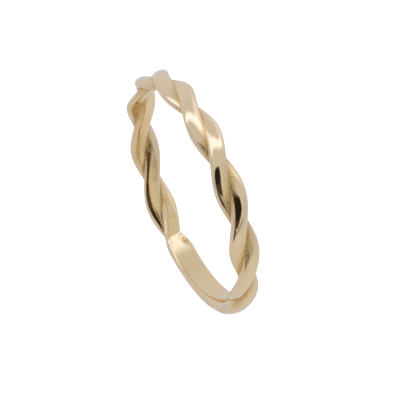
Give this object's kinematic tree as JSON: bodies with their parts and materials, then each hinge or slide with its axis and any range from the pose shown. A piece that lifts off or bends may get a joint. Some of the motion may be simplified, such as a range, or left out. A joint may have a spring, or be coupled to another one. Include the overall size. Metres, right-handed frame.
{
  "type": "finger ring",
  "caption": "Gold rope twist ring: two strands twisted together round most of the hoop, closed by a plain half-round stretch.",
  "frame": {"origin": "centre of the finger hole, halfway through the band's width", "axes": "+Z along the finger hole, up as the ring lies on its side; +Y towards the middle crossing of the rope, -Y towards the plain stretch"},
  "size_m": [0.02, 0.0198, 0.0024],
  "materials": {
    "gold": "polished pale yellow gold, with fine lines on the inner flats and a rougher cast surface in the grooves"
  },
  "bodies": {
    "root": {"ring": "gold"}
  },
  "joints": []
}
